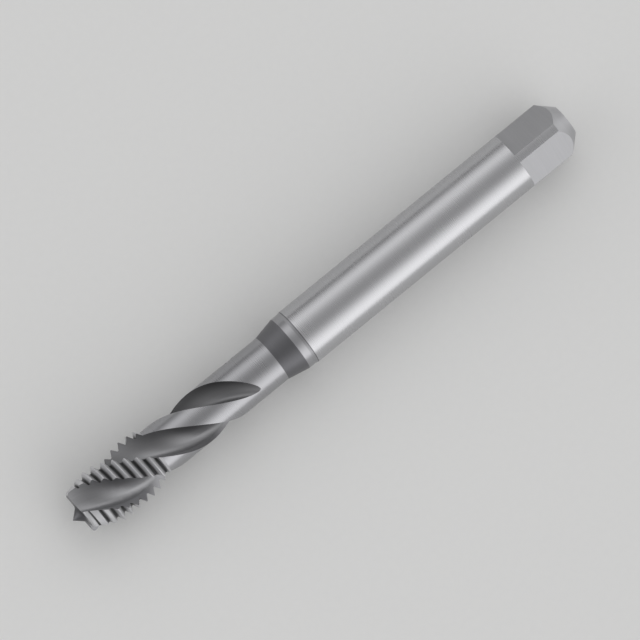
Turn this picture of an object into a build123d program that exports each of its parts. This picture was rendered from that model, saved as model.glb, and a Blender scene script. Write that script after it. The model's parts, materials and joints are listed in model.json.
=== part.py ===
from build123d import *
from math import acos, atan2, ceil, cos, degrees, floor, radians, sin, sqrt, tan
import os

# Spiral flute machine tap for a right-hand metric thread, one piece of tool steel.
# It is drawn upright first: z runs from the square end at 0 up to the centre point,
# and the finished tool is then laid down along X with its point towards -X.

# Shank, with how far it lies below the thread's crests, and drive square
shank_relief = 0.075
shank_length = 54.6
shank_chamfer_length = 0.55
square_across_flats = 8.0
square_length = 10.4
square_turn = 45.0
end_chamfer_length = 2.45
end_chamfer_angle = 46.5

# Guide band, cone and neck, with how far the band lies below the shank and the neck below the thread
band_step = 0.11
band_length = 1.25
cone_length = 3.7
neck_relief = 0.95
neck_length = 23.8

# Thread
thread_dia = 10.15
thread_pitch = 1.5
thread_length = 15.2
thread_angle = 60.0
thread_root_flat = 0.22
thread_crest_flat = 0.12
thread_end_chamfer = 0.9
thread_start_angle = 45.0
lead_length = 4.7
lead_depth = 1.025
front_edge_chamfer = 0.3

# Centre point on the front face
point_length = 1.7
point_angle = 84.0
point_fillet = 1.3

# Flutes
flute_count = 3
flute_lead = 39.8
web_dia = 4.13
rake_angle = 10.0
flute_root_radius = 1.3
flute_heel_radius = 7.0
flute_width_angle = 73.5
flute_start_angle = 16.7
flute_runout_length = 11.5
flute_runout_angle = 48.0
flute_end_gap = 4.7

# Diameters that follow from the thread
shank_dia = thread_dia - 2 * shank_relief
band_dia = shank_dia - 2 * band_step
neck_dia = thread_dia - 2 * neck_relief
lead_front_dia = thread_dia - 2 * lead_depth

# Heights that follow from the lengths
band_bottom = shank_length + shank_chamfer_length
cone_bottom = band_bottom + band_length
neck_bottom = cone_bottom + cone_length
thread_bottom = neck_bottom + neck_length
front_height = thread_bottom + thread_length
overall_length = front_height + point_length
lying_height = max(shank_dia, thread_dia) / 2

# How far cutters reach past what they cut, and how finely a flute follows its helix
clear = 0.8
flute_section_turn = 20.0


def polar(radius, angle):
    return Vector(radius * cos(radians(angle)), radius * sin(radians(angle)))


def heading(vector):
    """Direction of a vector in the XY plane, in degrees."""
    return degrees(atan2(vector.Y, vector.X))


def reach(point, direction, radius):
    """Distance from a point along a unit direction to a circle about the axis."""
    along = point.dot(direction)
    return -along + sqrt(along**2 - point.dot(point) + radius**2)


def blank():
    """The turned and ground blank, before the square, the flutes and the thread."""
    end_radius = shank_dia / 2 - end_chamfer_length / tan(radians(end_chamfer_angle))
    point_radius = point_length * tan(radians(point_angle / 2))
    outline = Polyline(
        (0, 0),
        (end_radius, 0),
        (shank_dia / 2, end_chamfer_length),
        (shank_dia / 2, shank_length),
        (band_dia / 2, band_bottom),
        (band_dia / 2, cone_bottom),
        (neck_dia / 2, neck_bottom),
        (neck_dia / 2, thread_bottom),
        (thread_dia / 2, thread_bottom + thread_end_chamfer),
        (thread_dia / 2, front_height - lead_length),
        (lead_front_dia / 2, front_height - front_edge_chamfer),
        (lead_front_dia / 2 - front_edge_chamfer, front_height),
        (point_radius, front_height),
        (0, overall_length),
        close=True,
    )
    half = make_face(outline)
    point_foot = half.vertices().sort_by_distance((point_radius, front_height, 0))[0]
    half = fillet(point_foot, point_fillet)
    return revolve(Plane.XZ * half, Axis.Z)


def square_cutter():
    """What is milled off the end of the shank to leave the four drive flats."""
    width = shank_dia + 2 * clear
    top_aligned = (Align.CENTER, Align.CENTER, Align.MAX)
    stock = Box(width, width, square_length + clear, align=top_aligned)
    core_length = square_length + 2 * clear
    core = Box(square_across_flats, square_across_flats, core_length, align=top_aligned)
    around = stock - Pos(0, 0, clear / 2) * core
    return Rot(0, 0, square_turn) * Pos(0, 0, square_length) * around


def flute_centres():
    """Centres of the arcs at the root and the back of a flute, its cutting edge on +X."""
    edge_radius = thread_dia / 2

    # The back touches the circle of the web and passes through the heel
    back_offset = web_dia / 2 + flute_heel_radius
    squares = back_offset**2 + edge_radius**2 - flute_heel_radius**2
    heel_to_back = degrees(acos(squares / (2 * back_offset * edge_radius)))
    back_centre = polar(back_offset, flute_width_angle - heel_to_back)

    # The root touches the straight rake face, and the back from within
    down_rake = polar(1, rake_angle + 180)
    beside_edge = Vector(edge_radius, 0) + polar(flute_root_radius, rake_angle + 90)
    radius_step = flute_heel_radius - flute_root_radius
    root_centre = beside_edge + down_rake * reach(beside_edge - back_centre, down_rake, radius_step)
    return root_centre, back_centre


def flute_section(lift):
    """Outline of one flute across the axis, its cutting edge on +X, moved out by lift."""
    root_centre, back_centre = flute_centres()
    outside = max(shank_dia, thread_dia) / 2 + clear
    edge = Vector(thread_dia / 2, 0)
    up_rake = polar(1, rake_angle)
    rake_top = edge + up_rake * reach(edge, up_rake, outside)
    rake_foot = root_centre + polar(flute_root_radius, rake_angle - 90)
    root_end = root_centre + (root_centre - back_centre).normalized() * flute_root_radius

    # The back goes on past the heel until it is clear of the bar
    back_offset = back_centre.length
    squares = back_offset**2 + outside**2 - flute_heel_radius**2
    back_to_top = degrees(acos(squares / (2 * back_offset * outside)))
    back_top = polar(outside, heading(back_centre) + back_to_top)

    def arc_through(centre, start, end):
        radius = (start - centre).length
        middle = centre + ((start + end) * 0.5 - centre).normalized() * radius
        return ThreePointArc(start, middle, end)

    edges = [
        Line(rake_top, rake_foot),
        arc_through(root_centre, rake_foot, root_end),
        arc_through(back_centre, root_end, back_top),
        arc_through(Vector(0, 0), back_top, rake_top),
    ]
    away = polar(lift, flute_runout_angle)
    return Pos(away.X, away.Y) * Wire([edge.edge() for edge in edges])


def flute_turn(height):
    """Angle of the first flute's cutting edge at a height."""
    return flute_start_angle + 360 * (height - thread_bottom) / flute_lead


def flute_cutter():
    """One flute: its section carried up the helix, rising out of the neck at the lower end."""
    root_centre = flute_centres()[0]
    runout_way = polar(1, flute_runout_angle)
    exit_lift = reach(root_centre, runout_way, neck_dia / 2 + flute_root_radius)
    lowest = neck_bottom + flute_end_gap
    full_depth = lowest + flute_runout_length
    bottom = lowest - clear
    top = overall_length + clear
    count = ceil((flute_turn(top) - flute_turn(bottom)) / flute_section_turn)
    sections = []
    for i in range(count + 1):
        height = bottom + (top - bottom) * i / count
        lift = exit_lift * (max(full_depth - height, 0) / flute_runout_length) ** 2
        sections.append(Pos(0, 0, height) * Rot(0, 0, flute_turn(height)) * flute_section(lift))
    return Solid.make_loft(sections)


def thread_cutters():
    """The helical V groove, in lengths that each cross one land and end inside the flutes."""
    slope = tan(radians(thread_angle / 2))
    depth = (thread_pitch - thread_root_flat - thread_crest_flat) / (2 * slope)
    root = thread_dia / 2 - depth

    # The cutter stands out past the crests, with half of the crest flat left between its turns
    top = thread_dia / 2 + thread_crest_flat / (4 * slope)
    half_root = thread_root_flat / 2
    half_top = (thread_pitch - thread_crest_flat / 2) / 2
    profile = Polyline(
        (root, 0, -half_root),
        (top, 0, -half_top),
        (top, 0, half_top),
        (root, 0, half_root),
        close=True,
    )

    # Along the thread the flutes come round more slowly, because they climb the same way
    gaining = 1 - thread_pitch / flute_lead
    span = 360 / flute_count / gaining
    path = Helix(thread_pitch, thread_pitch * span / 360, root)
    over_one_land = Solid.sweep(Wire(profile.edges()), path, is_frenet=True)

    # The first length starts in the middle of the flute that is nearest the thread's lower end
    first_middle = (flute_start_angle + flute_width_angle / 2 - thread_start_angle) / gaining
    start = first_middle - span * floor(first_middle / span + 0.5)
    stop = 360 * (thread_length + half_top) / thread_pitch
    cutters = []
    for i in range(ceil((stop - start) / span)):
        turn = start + span * i
        height = thread_bottom + thread_pitch * turn / 360
        cutters.append(Pos(0, 0, height) * Rot(0, 0, thread_start_angle + turn) * over_one_land)
    return cutters


def make_tap():
    """The whole tool, lying on its shank and thread with a corner of the square upwards."""
    flute = flute_cutter()
    flutes = [Rot(0, 0, 360 * i / flute_count) * flute for i in range(flute_count)]
    tap = blank() - square_cutter() - flutes
    tap -= thread_cutters()
    return Pos(overall_length / 2, 0, lying_height) * Rot(0, -90, 0) * Rot(0, 0, 90) * tap


os.makedirs("parts", exist_ok=True)
tap = make_tap()
export_step(tap, "parts/tap.step")
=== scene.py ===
import json
import math
import bmesh
import bpy
import numpy as np
from mathutils import Matrix, Vector


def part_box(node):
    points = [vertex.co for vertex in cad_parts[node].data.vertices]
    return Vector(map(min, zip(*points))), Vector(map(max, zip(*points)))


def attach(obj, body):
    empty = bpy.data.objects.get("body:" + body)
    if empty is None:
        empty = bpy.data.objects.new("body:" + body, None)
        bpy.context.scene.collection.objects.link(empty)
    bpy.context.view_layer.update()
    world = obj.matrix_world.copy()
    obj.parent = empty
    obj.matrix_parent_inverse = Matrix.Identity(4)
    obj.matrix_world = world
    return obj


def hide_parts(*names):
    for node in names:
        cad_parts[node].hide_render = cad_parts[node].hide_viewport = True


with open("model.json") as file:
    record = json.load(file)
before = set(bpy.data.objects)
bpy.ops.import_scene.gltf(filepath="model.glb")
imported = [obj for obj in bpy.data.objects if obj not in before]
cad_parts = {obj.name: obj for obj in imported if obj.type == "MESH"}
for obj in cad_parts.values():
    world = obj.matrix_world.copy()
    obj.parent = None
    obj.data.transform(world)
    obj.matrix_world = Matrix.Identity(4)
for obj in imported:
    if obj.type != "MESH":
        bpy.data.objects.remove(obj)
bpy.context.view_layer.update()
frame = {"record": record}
shankMount = frame["record"]["mounts"][0]
mm = 0.001
tiny = 1e-6  # millimetres by which two equal heights or radii may differ

# Spiral flute tap, in millimetres and degrees. Heights run along the axis, from the square end
# at 0 up to the centre point, and the tool is laid down along X when its mesh is made.
tapSizes = {
    "shankRadius": shankMount["dims"]["r_mm"],
    "shankLength": 54.6,
    "acrossFlats": 8.0,
    "squareLength": 10.4,
    "endChamferLength": 2.45,
    "endChamferAngle": 46.5,
    "shankChamferLength": 0.55,
    "paintedShadeLine": 0.14,  # length of the painted shade line at the end of the shank, where a shadow falls
    "bandStep": 0.11,  # how far the band lies below the shank
    "bandLength": 1.25,
    "coneLength": 3.7,
    "neckRelief": 0.95,  # how far the neck lies below the thread's crests
    "neckLength": 23.8,
    "threadRadius": 5.075,
    "pitch": 1.5,
    "threadLength": 15.2,
    "threadAngle": 60.0,
    "rootFlat": 0.22,
    "crestFlat": 0.12,
    "threadEndChamfer": 0.9,
    "threadStartAngle": 45.0,
    "leadLength": 4.7,
    "leadDepth": 1.025,
    "frontChamfer": 0.3,
    "pointLength": 1.7,
    "pointAngle": 84.0,
    "pointFillet": 1.3,
    "flutes": 3,
    "fluteLead": 39.8,
    "webRadius": 2.065,
    "rakeAngle": 10.0,
    "fluteRootRadius": 1.3,
    "fluteBackRadius": 7.0,
    "fluteWidthAngle": 73.5,
    "fluteStartAngle": 16.7,
    "runoutLength": 11.5,
    "runoutAngle": 48.0,
    "fluteEndGap": 4.7,
}

# How finely the tap's surface is divided into strips round it and rows along it
tapGrid = {
    "fluteStrips": 48,
    "landStrips": 32,
    "cornerStrips": 16,
    "squareRows": 6,
    "shankRows": 18,
    "neckRows": 14,
    "neckEasing": 1.5,  # how late the neck's columns turn towards those of the flutes
    "runoutRows": 34,
    "runoutCrowding": 1.7,  # how strongly these rows crowd towards the lower end
    "flutedNeckRows": 30,
    "rowsPerThreadFlank": 2,
    "pointRows": 16,
    "sectionReach": 8.0,  # how far a flute's section is followed each way from its deepest point
    "halvings": 44,
    "crestRounds": 24,
    "flankRounds": 8,
    "mergeWithin": 4e-7,  # metres
    "sharpAngle": 24,
    "fluteGrainShift": 60.0,  # keeps the flutes' tool marks apart from the others
}

# Finishes by name: the place on the ramps that the material reads, each in the middle of its step
finishes = {
    "ground": 0.05,
    "milled": 0.15,
    "turned": 0.25,
    "band": 0.35,
    "cone": 0.45,
    "neck": 0.55,
    "flute": 0.65,
    "rake": 0.75,
    "thread": 0.85,
    "front": 0.95,
}
finishStep = 0.1

# Painted shade, with lengths in millimetres: the colour is darkened where shade and dark reflections fall, in
# the thread's grooves, on the backs and rakes of the flutes and towards the foot of the centre point, and it
# darkens down the flutes' run-outs
paintedShadeSizes = {
    "fullDepth": 0.95,
    "rimDepth": 0.12,
    "depthPower": 3.4,
    "backStart": 1.1,
    "backLength": 3.6,
    "backDarkest": 0.55,
    "backFade": 7.0,
    "rakeLength": 1.9,
    "rakeDarkest": 0.75,
    "runoutLength": 9.0,
    "runoutDarkest": 0.35,
    "pointDarkest": 0.55,
}

shankRadius = tapSizes["shankRadius"]
threadRadius = tapSizes["threadRadius"]
pitch = tapSizes["pitch"]
rootArc = tapSizes["fluteRootRadius"]
backArc = tapSizes["fluteBackRadius"]
sector = 360 / tapSizes["flutes"]
fluteStrips = tapGrid["fluteStrips"]
landStrips = tapGrid["landStrips"]

# Heights up the tool, and radii
bandBottom = tapSizes["shankLength"] + tapSizes["shankChamferLength"]
coneBottom = bandBottom + tapSizes["bandLength"]
neckBottom = coneBottom + tapSizes["coneLength"]
lowestFlute = neckBottom + tapSizes["fluteEndGap"]
fullDepthHeight = lowestFlute + tapSizes["runoutLength"]
threadBottom = neckBottom + tapSizes["neckLength"]
frontHeight = threadBottom + tapSizes["threadLength"]
leadEnd = frontHeight - tapSizes["frontChamfer"]
bandRadius = shankRadius - tapSizes["bandStep"]
neckRadius = threadRadius - tapSizes["neckRelief"]
leadRadius = threadRadius - tapSizes["leadDepth"]
faceRadius = leadRadius - tapSizes["frontChamfer"]
flankSlope = math.tan(math.radians(tapSizes["threadAngle"] / 2))
rootRadius = threadRadius - (pitch - tapSizes["rootFlat"] - tapSizes["crestFlat"]) / (2 * flankSlope)

# Corners of the blank's outline over the thread: end chamfer, full thread and lead taper
blankHeights = [
    threadBottom,
    threadBottom + tapSizes["threadEndChamfer"],
    frontHeight - tapSizes["leadLength"],
    leadEnd,
]
blankRadii = [neckRadius, threadRadius, threadRadius, leadRadius]


# A point of the plane across the axis as a complex number, from its radius and angle in degrees
def polar(radius, angle):
    return radius * np.exp(1j * np.radians(angle))


# Distance from a point along a unit direction to a circle about the origin:
# the larger root of |point + distance * direction| = radius
def reach(point, direction, radius):
    along = (point * np.conj(direction)).real
    return -along + np.sqrt(along**2 - abs(point) ** 2 + radius**2)


# The flute's section, with its cutting edge at the angle 0. The back's arc touches the circle of the web
# and passes through the heel, and the root's arc touches the straight rake and the back's arc.
backOffset = tapSizes["webRadius"] + backArc
heelToBack = math.degrees(math.acos(
    (backOffset**2 + threadRadius**2 - backArc**2) / (2 * backOffset * threadRadius)
))
backCentre = polar(backOffset, tapSizes["fluteWidthAngle"] - heelToBack)
besideEdge = threadRadius + polar(rootArc, tapSizes["rakeAngle"] + 90)
downRake = polar(1, tapSizes["rakeAngle"] + 180)
rootCentre = besideEdge + downRake * reach(besideEdge - backCentre, downRake, backArc - rootArc)
rakeFoot = rootCentre + polar(rootArc, tapSizes["rakeAngle"] - 90)
rootStart = math.radians(tapSizes["rakeAngle"] - 90)
rootEnd = float(np.angle(rootCentre - backCentre))
rootLength = rootArc * (rootStart - rootEnd)
runoutWay = polar(1, tapSizes["runoutAngle"])
exitLift = reach(rootCentre, runoutWay, neckRadius + rootArc)


# Angle of the first flute's cutting edge at a height: a full turn for each lead
def fluteTurn(height):
    return tapSizes["fluteStartAngle"] + 360 * (height - threadBottom) / tapSizes["fluteLead"]


# How far the flute's section has moved out of the bar: a parabola down the run-out
def fluteLift(height):
    return exitLift * (np.maximum(fullDepthHeight - height, 0) / tapSizes["runoutLength"]) ** 2


# The flute's section by distance along it: the straight rake below 0, then the root arc, then the back arc
def fluteCurve(distance, lift):
    rake = rakeFoot + downRake * np.minimum(distance, 0)
    rootTurn = rootStart - np.clip(distance, 0, rootLength) / rootArc
    backTurn = rootEnd - np.maximum(distance - rootLength, 0) / backArc
    root = rootCentre + rootArc * np.exp(1j * rootTurn)
    back = backCentre + backArc * np.exp(1j * backTurn)
    section = np.where(distance < 0, rake, np.where(distance < rootLength, root, back))
    return section + lift * runoutWay


# Distance along the section of its point nearest the axis, which faces the arc's centre
def deepest(lift):
    rootTurn = np.angle(np.exp(1j * rootStart) / -(rootCentre + lift * runoutWay))
    backTurn = np.angle(np.exp(1j * rootEnd) / -(backCentre + lift * runoutWay))
    onRoot = rootTurn * rootArc
    onBack = rootLength + np.maximum(backTurn, 0) * backArc
    return np.where(onRoot < rootLength, onRoot, onBack)


# Distance along the section where it has a radius, on the rake's side (-1) or the heel's (+1), by halving
def whereRadius(radius, lift, side):
    near = deepest(lift) + 0 * radius
    far = near + side * tapGrid["sectionReach"]
    for _ in range(tapGrid["halvings"]):
        middle = (near + far) / 2
        inside = abs(fluteCurve(middle, lift)) < radius
        near = np.where(inside, middle, near)
        far = np.where(inside, far, middle)
    return near


# Angle of a land's point from the first cutting edge: its share of the way from heel to next cutting edge
def landAngle(share, height, radius, sectorIndex):
    lift = fluteLift(height)
    heel = np.degrees(np.angle(fluteCurve(whereRadius(radius, lift, 1), lift)))
    edge = np.degrees(np.angle(fluteCurve(whereRadius(radius, lift, -1), lift)))
    return fluteTurn(height) + sector * sectorIndex + heel + share * (sector + edge - heel)


# Radius of the blank over the thread: straight lines between its corners
def blankRadius(height):
    return np.interp(height, blankHeights, blankRadii)


# Radius of the thread's groove at a height and angle: the root, then up the flank with the distance from it
def grooveRadius(height, angle):
    turns = (angle - tapSizes["threadStartAngle"]) / 360
    index = np.maximum(np.round((height - threadBottom) / pitch - turns), 0)
    centre = threadBottom + pitch * (turns + index)
    return rootRadius + np.maximum(abs(height - centre) - tapSizes["rootFlat"] / 2, 0) / flankSlope


# Heights and radii over the lands of the thread, as arrays of row by land by share of the land's width.
# Rows lie on the thread's crests and roots, each at its groove's middle plus or minus half the root's flat,
# and the flank's width too at a crest. They are solved for and then put in order up each line.
def threadLands():
    shares = np.linspace(0, 1, landStrips + 1)[None, None, :]
    lands = np.arange(tapSizes["flutes"])[None, :, None]
    grooves = math.ceil(tapSizes["threadLength"] / pitch) + 1
    index = np.repeat(np.arange(grooves), 4)[:, None, None]
    side = np.tile([-1, -1, 1, 1], grooves)[:, None, None]
    atCrest = np.tile([True, False, False, True], grooves)[:, None, None]
    height = threadBottom + pitch * index + 0 * (shares + lands)
    radius = blankRadius(height)
    for _ in range(tapGrid["crestRounds"]):
        angle = landAngle(shares, height, radius, lands)
        centre = threadBottom + pitch * ((angle - tapSizes["threadStartAngle"]) / 360 + index)
        flank = np.maximum(blankRadius(height) - rootRadius, 0) * flankSlope
        height = centre + side * (tapSizes["rootFlat"] / 2 + np.where(atCrest, flank, 0))
        height = np.clip(height, threadBottom, leadEnd)
        radius = np.minimum(blankRadius(height), grooveRadius(height, angle))
    corners = np.array(blankHeights)[:, None, None] + 0 * height[:1]
    ordered = np.sort(np.concatenate([height, corners]), axis=0)

    # More rows between these, at even steps
    steps = tapGrid["rowsPerThreadFlank"]
    between = np.arange(steps)[None, :, None, None] / steps
    height = ordered[:-1, None] + (ordered[1:, None] - ordered[:-1, None]) * between
    height = np.concatenate([height.reshape(-1, *ordered.shape[1:]), ordered[-1:]])
    radius = blankRadius(height)
    for _ in range(tapGrid["flankRounds"]):
        angle = landAngle(shares, height, radius, lands)
        radius = np.minimum(blankRadius(height), grooveRadius(height, angle))
    return height, radius


# Whole rings from the lands' heights and radii: each flute runs from one land's cutting edge to the next
# land's heel, with its radius as the deepest plus the square of a share of the way, and the lands lie between
def rings(height, radius, edgeRadius=None, shareLimit=None):
    rows = height.shape[0]
    cutHeight = np.roll(height[:, :, -1:], 1, axis=1)
    cutRadius = np.roll(radius[:, :, -1:], 1, axis=1) if edgeRadius is None else edgeRadius
    heelHeight = height[:, :, :1]
    heelRadius = radius[:, :, :1] if edgeRadius is None else edgeRadius
    across = np.linspace(-1, 1, fluteStrips + 1)[None, None, :]
    fluteHeight = cutHeight + (heelHeight - cutHeight) * (across + 1) / 2
    lift = fluteLift(fluteHeight)
    deepRadius = abs(fluteCurve(deepest(lift), lift))
    rim = np.where(across < 0, cutRadius, heelRadius)
    share = abs(across) if shareLimit is None else np.minimum(abs(across), shareLimit)
    wanted = deepRadius + (rim - deepRadius) * share**2
    distance = whereRadius(wanted, lift, np.where(across < 0, -1, 1))
    sectors = np.arange(tapSizes["flutes"])[None, :, None]
    flute = fluteCurve(distance, lift) * polar(1, fluteTurn(fluteHeight) + sector * sectors)

    shares = np.linspace(0, 1, landStrips + 1)[None, None, :]
    land = polar(radius, landAngle(shares, height, radius, sectors))
    inner = slice(1, -1)
    points = np.concatenate([flute, land[:, :, inner]], axis=2).reshape(rows, -1)
    heights = np.concatenate([fluteHeight, height[:, :, inner]], axis=2).reshape(rows, -1)
    fluteGrain = np.concatenate([distance, 0 * land[:, :, inner].real], axis=2).reshape(rows, -1)
    return points, heights, fluteGrain


# Rings for rows of constant height and radius on the lands
def evenRings(heights, radii, **limits):
    shape = (len(heights), tapSizes["flutes"], landStrips + 1)
    height = np.broadcast_to(np.asarray(heights, float)[:, None, None], shape)
    radius = np.broadcast_to(np.asarray(radii, float)[:, None, None], shape)
    return rings(height, radius, **limits)


# Height of the front past the face: the fillet's arc at the point's foot, then the point's cone
def frontProfile(radius):
    slant = math.radians(tapSizes["pointAngle"] / 2)
    fillet = tapSizes["pointFillet"]
    coneFoot = tapSizes["pointLength"] * math.tan(slant)
    filletCentre = coneFoot + fillet * (1 - math.sin(slant)) / math.cos(slant)
    tangent = filletCentre - fillet * math.cos(slant)
    drop = np.sqrt(np.maximum(fillet**2 - (filletCentre - radius) ** 2, 0))
    onFillet = frontHeight + fillet - drop
    onCone = frontHeight + (coneFoot - radius) / math.tan(slant)
    return np.where(radius < tangent, onCone, np.where(radius < filletCentre, onFillet, frontHeight))


# The whole tap as one closed grid of rows by columns, from the middle of its square end to its centre point:
# the points across the axis, their heights, the distance along a flute's section, and for each row
# the finish above it and whether it is a sharp edge
def tapGridPoints():
    columns = tapSizes["flutes"] * (fluteStrips + landStrips)
    rows = []

    # Angles of the columns: even ones, those at the flutes' lower ends, and those on the square's corners
    lowestPoints = evenRings([lowestFlute], [neckRadius])[0]
    fluteAngles = np.degrees(np.unwrap(np.angle(lowestPoints[0])))
    strip = 360 / columns
    evenAngles = fluteAngles[fluteStrips // 2] + strip * (np.arange(columns) - fluteStrips // 2)
    flatHalf = math.degrees(math.acos(tapSizes["acrossFlats"] / 2 / shankRadius))
    quarter = columns // 4
    cornerStrips = tapGrid["cornerStrips"]
    corner = np.linspace(flatHalf - 90, -flatHalf, cornerStrips, endpoint=False)
    flat = np.linspace(-flatHalf, flatHalf, quarter - cornerStrips, endpoint=False)
    quarterAngles = np.concatenate([corner, flat]) + 45
    first = round((evenAngles[0] - quarterAngles[0]) / strip)
    index = np.arange(columns) + first
    squareAngles = quarterAngles[index % quarter] + 90 * (index // quarter)

    def ring(height, radius, angles, finish, sharp=False):
        heights = height + np.zeros(columns)
        rows.append((polar(radius + np.zeros(columns), angles), heights, np.zeros(columns), finish, sharp))

    def addRings(made, finish):
        for points, heights, grain in zip(*made):
            rows.append((points, heights, grain, finish, False))

    # Square end: flat face, cone of the chamfer, then flats and corners up to the shoulder
    chamferRise = math.tan(math.radians(tapSizes["endChamferAngle"]))
    endRadius = shankRadius - tapSizes["endChamferLength"] / chamferRise
    fromFlat = np.radians(squareAngles % 90 - 45)
    squareRadius = np.minimum(shankRadius, tapSizes["acrossFlats"] / 2 / np.cos(fromFlat))
    chamferTop = (squareRadius - endRadius) * chamferRise
    for share in (0, 0.5, 1):
        ring(0, endRadius * share, squareAngles, "turned", share == 1)
    for share in (0.25, 0.5, 0.75):
        radius = endRadius + (squareRadius - endRadius) * share
        ring(chamferTop * share, radius, squareAngles, "turned")
    for share in np.linspace(0, 1, tapGrid["squareRows"]):
        height = chamferTop + (tapSizes["squareLength"] - chamferTop) * share
        ring(height, squareRadius, squareAngles, "milled", share in (0, 1))

    # Shank, whose columns pass from the square's corners to even ones, and the painted shade line at its end,
    # in the cone's dark colour
    for share in np.linspace(0, 1, tapGrid["shankRows"]):
        height = tapSizes["squareLength"] + (tapSizes["shankLength"] - tapSizes["squareLength"]) * share
        angles = squareAngles + (evenAngles - squareAngles) * share
        ring(height, shankRadius, angles, "ground" if share < 1 else "cone", share in (0, 1))
    # Painted shade: the strip above the shank's last row takes the cone's dark colour, where a shadow falls
    lineRadius = shankRadius - tapSizes["bandStep"] * tapSizes["paintedShadeLine"] / tapSizes["shankChamferLength"]
    ring(tapSizes["shankLength"] + tapSizes["paintedShadeLine"], lineRadius, evenAngles, "band")

    # Band, cone and plain neck, whose columns pass from even ones to the flutes' lower ends
    ring(bandBottom, bandRadius, evenAngles, "band", True)
    ring((bandBottom + coneBottom) / 2, bandRadius, evenAngles, "band")
    for share in (0, 0.33, 0.67):
        radius = bandRadius + (neckRadius - bandRadius) * share
        ring(coneBottom + tapSizes["coneLength"] * share, radius, evenAngles, "cone", share == 0)
    for share in np.linspace(0, 1, tapGrid["neckRows"], endpoint=False):
        height = neckBottom + (lowestFlute - neckBottom) * share
        angles = evenAngles + (fluteAngles - evenAngles) * share ** tapGrid["neckEasing"]
        ring(height, neckRadius, angles, "neck", share == 0)

    # Neck with the flutes: rows crowd towards the lower end, where the flutes widen fastest
    shares = np.linspace(0, 1, tapGrid["runoutRows"], endpoint=False) ** tapGrid["runoutCrowding"]
    runout = lowestFlute + tapSizes["runoutLength"] * shares
    plain = np.linspace(fullDepthHeight, threadBottom, tapGrid["flutedNeckRows"], endpoint=False)
    neckHeights = np.concatenate([runout, plain])
    addRings(evenRings(neckHeights, neckRadius + 0 * neckHeights), "neck")
    addRings(rings(*threadLands()), "thread")

    # Front face: each ring is the disc's edge on the lands, and stops at the flutes, which keep their outline
    half = fluteStrips // 2
    frontLift = fluteLift(frontHeight)
    deepRadius = float(abs(fluteCurve(deepest(frontLift), frontLift)))
    limits = np.arange(half, -1, -1) / half
    radii = deepRadius + (faceRadius - deepRadius) * limits**2
    limit = limits[:, None, None]
    addRings(evenRings(frontHeight + 0 * radii, radii, edgeRadius=faceRadius, shareLimit=limit), "front")

    # Centre point, inside the circle that the flutes leave whole
    pointAngles = np.degrees(np.angle(rows[-1][0]))
    for radius in deepRadius * np.linspace(1, 0, tapGrid["pointRows"] + 1)[1:]:
        ring(float(frontProfile(radius)), radius, pointAngles, "front")
    return [np.array(part) for part in zip(*rows)]


# How much painted shade each point has, from 0 to 1, on the body and in the flutes: darkening of the colour
# where shade and dark reflections fall. The body is darker by a power of the nearness to the thread's root,
# and down the centre point to its foot.
# In the flutes the back is darker by a smooth step along the section, the neck's rakes by the square of the
# distance up them, and both by the distance down the run-out.
def paintedTapShade(points, heights, fluteGrain):
    onThread = (heights >= threadBottom) & (heights <= leadEnd)
    depth = np.where(onThread, blankRadius(heights) - abs(points), 0)
    nearRoot = 1 - np.clip((abs(points) - rootRadius) / paintedShadeSizes["fullDepth"], 0, 1)
    bodyShade = nearRoot ** paintedShadeSizes["depthPower"] * np.clip(depth / paintedShadeSizes["rimDepth"], 0, 1)
    downPoint = 1 - np.clip((heights - frontHeight) / tapSizes["pointLength"], 0, 1)
    bodyShade += downPoint * (heights > frontHeight + tiny) * paintedShadeSizes["pointDarkest"]

    backShare = np.clip((fluteGrain - paintedShadeSizes["backStart"]) / paintedShadeSizes["backLength"], 0, 1)
    fromFront = np.clip((frontHeight - heights) / paintedShadeSizes["backFade"], 0, 1)
    fluteShade = backShare**2 * (3 - 2 * backShare) * fromFront * paintedShadeSizes["backDarkest"]
    rakeShare = np.clip(-fluteGrain / paintedShadeSizes["rakeLength"], 0, 1) * (heights < threadBottom)
    fluteShade += rakeShare**2 * paintedShadeSizes["rakeDarkest"]
    toRunout = np.clip((threadBottom - heights) / paintedShadeSizes["runoutLength"], 0, 1)
    fluteShade = np.minimum(fluteShade + toRunout * paintedShadeSizes["runoutDarkest"], 1)
    return bodyShade.ravel(), fluteShade.ravel()


# Corners of the four-sided faces of a grid between neighbouring rows and columns, the last column of which
# meets the first
def gridCorners(count, columns):
    row = np.arange(count - 1)[:, None]
    column = np.arange(columns)[None, :]
    after = (column + 1) % columns
    return np.stack([
        row * columns + column,
        row * columns + after,
        (row + 1) * columns + after,
        (row + 1) * columns + column,
    ], axis=-1).reshape(-1, 4)


# Edges are sharp where the surface turns by more than the sharp angle, or where both ends are on a rim
def sharpenEdges(mesh):
    mesh.shade_smooth()
    mesh.set_sharp_from_angle(angle=math.radians(tapGrid["sharpAngle"]))
    ends = np.zeros(len(mesh.edges) * 2, np.int32)
    mesh.edges.foreach_get("vertices", ends)
    onRim = np.zeros(len(mesh.vertices), np.float32)
    mesh.attributes["rim"].data.foreach_get("value", onRim)
    sharp = np.zeros(len(mesh.edges), bool)
    mesh.attributes["sharp_edge"].data.foreach_get("value", sharp)
    sharp |= onRim[ends.reshape(-1, 2)].min(axis=1) > 0.5
    mesh.attributes["sharp_edge"].data.foreach_set("value", sharp)
    mesh.attributes.remove(mesh.attributes["rim"])
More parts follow.
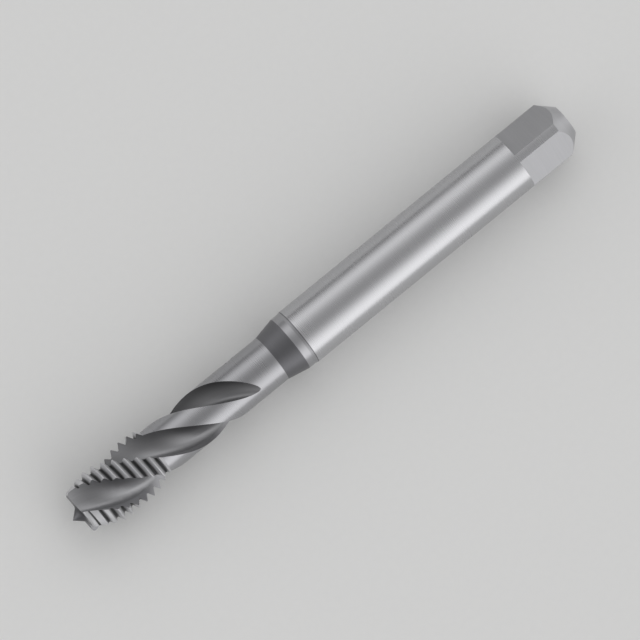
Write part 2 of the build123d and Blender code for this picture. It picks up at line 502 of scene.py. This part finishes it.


# One mesh from the grid, merged where points meet, with its finish kept on the faces, and its painted shade
# and the direction of its tool marks on their corners. A point lies at the end's place less its height,
# and the axis is at a height over the floor.
def tapBody(axisHeight, endPlace):
    points, heights, fluteGrain, rowFinish, sharpRow = tapGridPoints()
    count, columns = points.shape
    places = np.stack([endPlace - heights, points.real, axisHeight - points.imag], axis=-1) * mm
    corners = gridCorners(count, columns)

    # Faces inside a flute, which are those whose column lies between cutting edge and heel
    perSector = fluteStrips + landStrips
    column = np.arange(columns)[None, :]
    inFlute = (column % perSector < fluteStrips) & (heights[:-1] >= lowestFlute - tiny)
    inRake = fluteGrain[:-1] + fluteGrain[1:] < 0
    fluteFinish = np.where(inRake, finishes["rake"], finishes["flute"])
    bodyFinish = np.array([finishes[name] for name in rowFinish[:-1]])[:, None] + 0 * column
    faceFinish = np.where(inFlute, fluteFinish, bodyFinish)

    # The square's corners are what is left of the ground shank
    full = abs(points) > shankRadius - tiny
    full &= np.roll(full, -1, axis=1)
    leftFull = full[:-1] & full[1:] & (faceFinish == finishes["milled"])
    faceFinish = np.where(leftFull, finishes["ground"], faceFinish)

    # Painted shade on the corners: darkening of the colour in the thread's grooves, the flutes and at the
    # point's foot, where shade falls
    bodyShade, fluteShade = paintedTapShade(points, heights, fluteGrain)
    shade = np.where(inFlute.reshape(-1, 1), fluteShade[corners], bodyShade[corners])

    # Tool marks run across the first of three numbers: along the flutes, and round the axis elsewhere
    turned = np.stack([heights, points.real, points.imag], axis=-1).reshape(-1, 3)
    shifted = fluteGrain + tapGrid["fluteGrainShift"]
    fluted = np.stack([shifted, heights, 0 * heights], axis=-1).reshape(-1, 3)
    grain = np.where(inFlute.reshape(-1, 1, 1), fluted[corners], turned[corners])

    # Rims: the sharp rows, and the columns at cutting edges and heels
    rim = np.zeros((count, columns))
    rim[sharpRow, :] = 1
    besideFlute = (heights[:, :1] >= lowestFlute - tiny) & (heights[:, :1] <= leadEnd)
    for start in (0, fluteStrips):
        rim[:, start::perSector] = np.maximum(rim[:, start::perSector], besideFlute)

    mesh = bpy.data.meshes.new("tapBody")
    mesh.from_pydata(places.reshape(-1, 3).tolist(), [], corners.tolist())
    mesh.attributes.new("finish", "FLOAT", "FACE").data.foreach_set("value", faceFinish.ravel())
    mesh.attributes.new("grain", "FLOAT_VECTOR", "CORNER").data.foreach_set("vector", grain.ravel())
    mesh.attributes.new("shade", "FLOAT", "CORNER").data.foreach_set("value", shade.ravel())
    mesh.attributes.new("rim", "FLOAT", "POINT").data.foreach_set("value", rim.ravel())
    merged = bmesh.new()
    merged.from_mesh(mesh)
    bmesh.ops.remove_doubles(merged, verts=merged.verts, dist=tapGrid["mergeWithin"])
    merged.to_mesh(mesh)
    merged.free()
    sharpenEdges(mesh)

    body = bpy.data.objects.new("tapBody", mesh)
    bpy.context.scene.collection.objects.link(body)
    return body


# A shader socket that takes part in Python sums, each of which adds a Math node
class Signal:
    def __init__(self, tree, socket):
        self.tree = tree
        self.socket = socket

    def maths(self, operation, first, second):
        node = self.tree.nodes.new("ShaderNodeMath")
        node.operation = operation
        for place, value in enumerate((first, second)):
            if isinstance(value, Signal):
                self.tree.links.new(value.socket, node.inputs[place])
            else:
                node.inputs[place].default_value = value
        return Signal(self.tree, node.outputs[0])

    def __add__(self, other):
        return self.maths("ADD", self, other)

    def __radd__(self, other):
        return self.maths("ADD", other, self)

    def __sub__(self, other):
        return self.maths("SUBTRACT", self, other)

    def __rsub__(self, other):
        return self.maths("SUBTRACT", other, self)

    def __mul__(self, other):
        return self.maths("MULTIPLY", self, other)

    def __rmul__(self, other):
        return self.maths("MULTIPLY", other, self)


# A material's or the world's tree, with one method that adds any other node
class Shader:
    def __init__(self, tree):
        self.tree = tree
        tree.nodes.clear()

    def node(self, kind, settings=None, values=None, output=0):
        made = self.tree.nodes.new(kind)
        for name, value in (settings or {}).items():
            if name == "stops":
                self.setStops(made.color_ramp, value)
            else:
                setattr(made, name, value)
        for name, value in (values or {}).items():
            if isinstance(value, Signal):
                self.tree.links.new(value.socket, made.inputs[name])
            else:
                made.inputs[name].default_value = value
        return Signal(self.tree, made.outputs[output]) if len(made.outputs) else made

    # A stepped ramp's stops as a list of place and colour
    def setStops(self, ramp, stops):
        ramp.interpolation = "CONSTANT"
        while len(ramp.elements) < len(stops):
            ramp.elements.new(1.0)
        for element, (place, colour) in zip(ramp.elements, stops):
            element.position = place
            element.color = (*colour, 1.0)


# Steel: each finish has a colour, a roughness, how deep its tool marks are, and how metallic it is
steelLook = {
    "ground": ((0.50, 0.50, 0.515), 0.27, 0.28, 1.0),
    "milled": ((0.44, 0.44, 0.455), 0.34, 0.90, 1.0),
    "turned": ((0.47, 0.47, 0.485), 0.34, 0.60, 1.0),
    "band": ((0.39, 0.39, 0.405), 0.30, 0.50, 1.0),
    "cone": ((0.175, 0.175, 0.185), 0.38, 0.70, 1.0),
    "neck": ((0.38, 0.38, 0.395), 0.28, 0.26, 1.0),
    "flute": ((0.31, 0.31, 0.32), 0.43, 0.95, 0.8),
    "rake": ((0.36, 0.36, 0.375), 0.42, 0.80, 0.7),
    "thread": ((0.54, 0.54, 0.555), 0.40, 0.30, 0.55),
    "front": ((0.18, 0.18, 0.19), 0.38, 0.80, 1.0),
}

# Tool marks to a millimetre across and along the cut, coarse and fine, and how much they and the faint
# patches, where the bar was handled, change the roughness and the tone
steelMarks = {
    "across": 4.0,
    "along": 0.12,
    "fineAcross": 26.0,
    "fineAlong": 0.24,
    "fineShare": 0.4,
    "bumpDepth": 0.0009,
    "bumpStrength": 0.5,
    "roughness": 0.22,
    "tone": 0.24,
    "patchScale": 180.0,
    "patchRoughness": 0.056,
    "patchTone": 0.06,
    # how strongly the painted shade darkens the colour
    "paintedShadeStrength": 0.95,
}


# The steel's material. Tool marks are noise drawn out along the way that the wheel or the cutter went:
# its place is the grain times a large number across and a small one along.
def steelMaterial():
    material = bpy.data.materials.new("toolSteel")
    material.use_nodes = True
    shader = Shader(material.node_tree)
    finish = shader.node("ShaderNodeAttribute", {"attribute_name": "finish"}, output=2)
    grain = shader.node("ShaderNodeAttribute", {"attribute_name": "grain"}, output=1)
    # The shade attribute is painted shade, which darkens the colour below
    dark = shader.node("ShaderNodeAttribute", {"attribute_name": "shade"}, output=2)
    steps = [(round(place - finishStep / 2, 3), steelLook[name]) for name, place in finishes.items()]
    colour = shader.node("ShaderNodeValToRGB", {
        "stops": [(start, look[0]) for start, look in steps]
    }, {"Fac": finish})
    numbers = shader.node("ShaderNodeValToRGB", {
        "stops": [(start, look[1:4]) for start, look in steps]
    }, {"Fac": finish})
    roughness, markDepth, metallic = [
        shader.node("ShaderNodeSeparateColor", values={"Color": numbers}, output=place) for place in range(3)
    ]

    def drawnNoise(across, along, detail):
        drawn = shader.node("ShaderNodeVectorMath", {"operation": "MULTIPLY"}, {
            0: grain, 1: (across, along, along)
        })
        return shader.node("ShaderNodeTexNoise", values={"Vector": drawn, "Scale": 1.0, "Detail": detail})

    coarse = drawnNoise(steelMarks["across"], steelMarks["along"], 3.0)
    fine = drawnNoise(steelMarks["fineAcross"], steelMarks["fineAlong"], 2.0)
    marks = coarse * (1 - steelMarks["fineShare"]) + fine * steelMarks["fineShare"]
    objectPlace = shader.node("ShaderNodeTexCoord", output=3)
    patches = shader.node("ShaderNodeTexNoise", values={
        "Vector": objectPlace, "Scale": steelMarks["patchScale"], "Detail": 4.0
    })

    marked = (marks - 0.5) * markDepth
    patched = patches - 0.5
    uneven = roughness + marked * steelMarks["roughness"] + patched * steelMarks["patchRoughness"]
    tone = 1.0 + marked * steelMarks["tone"] + patched * steelMarks["patchTone"]
    # Painted shade: the colour is darkened by the shade attribute times the painted shade strength
    toned = shader.node("ShaderNodeVectorMath", {"operation": "SCALE"}, {
        0: colour, "Scale": tone * (1.0 - dark * steelMarks["paintedShadeStrength"])
    })
    bump = shader.node("ShaderNodeBump", values={
        "Strength": steelMarks["bumpStrength"],
        "Distance": steelMarks["bumpDepth"] * mm,
        "Height": marks * markDepth,
    })
    bsdf = shader.node("ShaderNodeBsdfPrincipled", values={
        "Base Color": toned, "Metallic": metallic, "Roughness": uneven, "Normal": bump
    })
    shader.node("ShaderNodeOutputMaterial", values={"Surface": bsdf})
    return material


# Floor: a wide pale disc of paper, in metres, with a faint cloudiness
floorLook = {
    "radius": 9.0,
    "rings": 24,
    "strips": 96,
    "colour": (0.75, 0.75, 0.745),
    "roughness": 0.85,
    "cloudScale": 900.0,
    "cloudTone": 0.03,
}


# The disc is rings of points, at a radius that grows with the square of the ring's number
def floorDisc():
    strips = floorLook["strips"]
    ring = np.arange(1, floorLook["rings"] + 1)[:, None]
    turn = np.exp(2j * np.pi * np.arange(strips)[None, :] / strips)
    flat = (floorLook["radius"] * (ring / floorLook["rings"]) ** 2 * turn).ravel()
    places = np.stack([flat.real, flat.imag, 0 * flat.real], axis=-1).tolist() + [[0, 0, 0]]
    column = np.arange(strips)
    middle = np.stack([0 * column + len(flat), column, (column + 1) % strips], axis=-1)
    mesh = bpy.data.meshes.new("paleFloor")
    mesh.from_pydata(places, [], gridCorners(len(ring), strips)[:, ::-1].tolist() + middle.tolist())
    mesh.shade_smooth()
    floor = bpy.data.objects.new("paleFloor", mesh)
    bpy.context.scene.collection.objects.link(floor)

    material = bpy.data.materials.new("palePaper")
    material.use_nodes = True
    shader = Shader(material.node_tree)
    objectPlace = shader.node("ShaderNodeTexCoord", output=3)
    cloud = shader.node("ShaderNodeTexNoise", values={
        "Vector": objectPlace, "Scale": floorLook["cloudScale"], "Detail": 3.0
    })
    tone = shader.node("ShaderNodeVectorMath", {"operation": "SCALE"}, {
        0: floorLook["colour"], "Scale": 1.0 + (cloud - 0.5) * floorLook["cloudTone"]
    })
    bsdf = shader.node("ShaderNodeBsdfPrincipled", values={
        "Base Color": tone, "Roughness": floorLook["roughness"]
    })
    shader.node("ShaderNodeOutputMaterial", values={"Surface": bsdf})
    floor.data.materials.append(material)
    return floor


# Studio: a dark room with soft glows. A glow's brightness is its level times e to the power of
# tightness times the cosine of the angle from its middle less one. It stands in a direction in degrees,
# round from the square end towards +Y, and up from the floor.
studio = {
    "tightness": 9.0,
    "glows": {
        "squareEnd": {"round": 0, "up": 8, "level": 1.14},
        "leftOfPoint": {"round": 135, "up": 8, "level": 1.66},
        "point": {"round": 180, "up": 8, "level": 0.95},
        "key": {"round": 270, "up": 8, "level": 1.14},
        "keyTowardsSquare": {"round": 315, "up": 8, "level": 1.34},
        "aboveSquare": {"round": 22.5, "up": 38, "level": 0.56},
        "side": {"round": 67.5, "up": 38, "level": 1.22},
        "aboveLeftOfPoint": {"round": 157.5, "up": 38, "level": 0.42},
        "aboveRightOfPoint": {"round": 247.5, "up": 38, "level": 0.43},
        "aboveKey": {"round": 292.5, "up": 38, "level": 0.90},
        "overheadSquare": {"round": 0, "up": 65, "level": 0.39},
        "overheadPoint": {"round": 180, "up": 65, "level": 0.22},
    },
}


def studioLight():
    world = bpy.data.worlds.new("studioWorld")
    bpy.context.scene.world = world
    world.use_nodes = True
    shader = Shader(world.node_tree)
    way = shader.node("ShaderNodeTexCoord", output=0)
    level = 0.0
    for glow in studio["glows"].values():
        turn = math.radians(glow["round"])
        rise = math.radians(glow["up"])
        middle = (math.cos(rise) * math.cos(turn), math.cos(rise) * math.sin(turn), math.sin(rise))
        cosine = shader.node("ShaderNodeVectorMath", {"operation": "DOT_PRODUCT"}, {
            0: way, 1: middle
        }, output=1)
        fall = shader.node("ShaderNodeMath", {"operation": "EXPONENT"}, {
            0: (cosine - 1.0) * studio["tightness"]
        })
        level = level + fall * glow["level"]
    grey = shader.node("ShaderNodeCombineColor", values={"Red": level, "Green": level, "Blue": level})
    back = shader.node("ShaderNodeBackground", values={"Color": grey, "Strength": 1.0})
    shader.node("ShaderNodeOutputWorld", values={"Surface": back})


# Camera: the photograph looks straight down but for a tilt towards the point, with the tool rolled up to
# the right. Angles are in degrees, and lengths in millimetres, such as how much is seen across the frame.
photoView = {
    "tilt": 6.0,
    "roll": 39.15,
    "aim": (0.083, -0.055),
    "seen": 101.1,
    "lens": 1200.0,
    "sensor": 36.0,
    "clip": 10.0,  # how many times nearer and further than the tool the camera still sees
}


# The camera stands back by what is seen times the lens over the sensor, on a line through its aim
def photoCamera(axisHeight):
    tilt = math.radians(photoView["tilt"])
    roll = math.radians(photoView["roll"])
    back = Vector((-math.sin(tilt), 0, math.cos(tilt)))
    along = Vector((math.cos(tilt), 0, math.sin(tilt)))
    side = Vector((0, 1, 0))
    right = along * math.cos(roll) - side * math.sin(roll)
    up = along * math.sin(roll) + side * math.cos(roll)
    distance = photoView["seen"] * mm * photoView["lens"] / photoView["sensor"]
    data = bpy.data.cameras.new("photoCamera")
    data.lens = photoView["lens"]
    data.sensor_width = photoView["sensor"]
    data.clip_start = distance / photoView["clip"]
    data.clip_end = distance * photoView["clip"]
    camera = bpy.data.objects.new("photoCamera", data)
    bpy.context.scene.collection.objects.link(camera)
    turn = Matrix((right, up, back)).transposed().to_4x4()
    turn.translation = Vector((*photoView["aim"], axisHeight)) * mm + back * distance
    camera.matrix_world = turn
    bpy.context.scene.camera = camera


axisHeight = shankMount["pos_m"][2] / mm
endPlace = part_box("tap")[1].x / mm

tap = tapBody(axisHeight, endPlace)
tap.data.materials.append(steelMaterial())
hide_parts("tap")
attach(tap, "root")
print("tap:", len(tap.data.vertices), "points,", len(tap.data.polygons), "faces")

floor = floorDisc()
print("floor made")

photoCamera(axisHeight)
studioLight()
bpy.context.scene.view_settings.view_transform = "Standard"
print("camera and lights set")
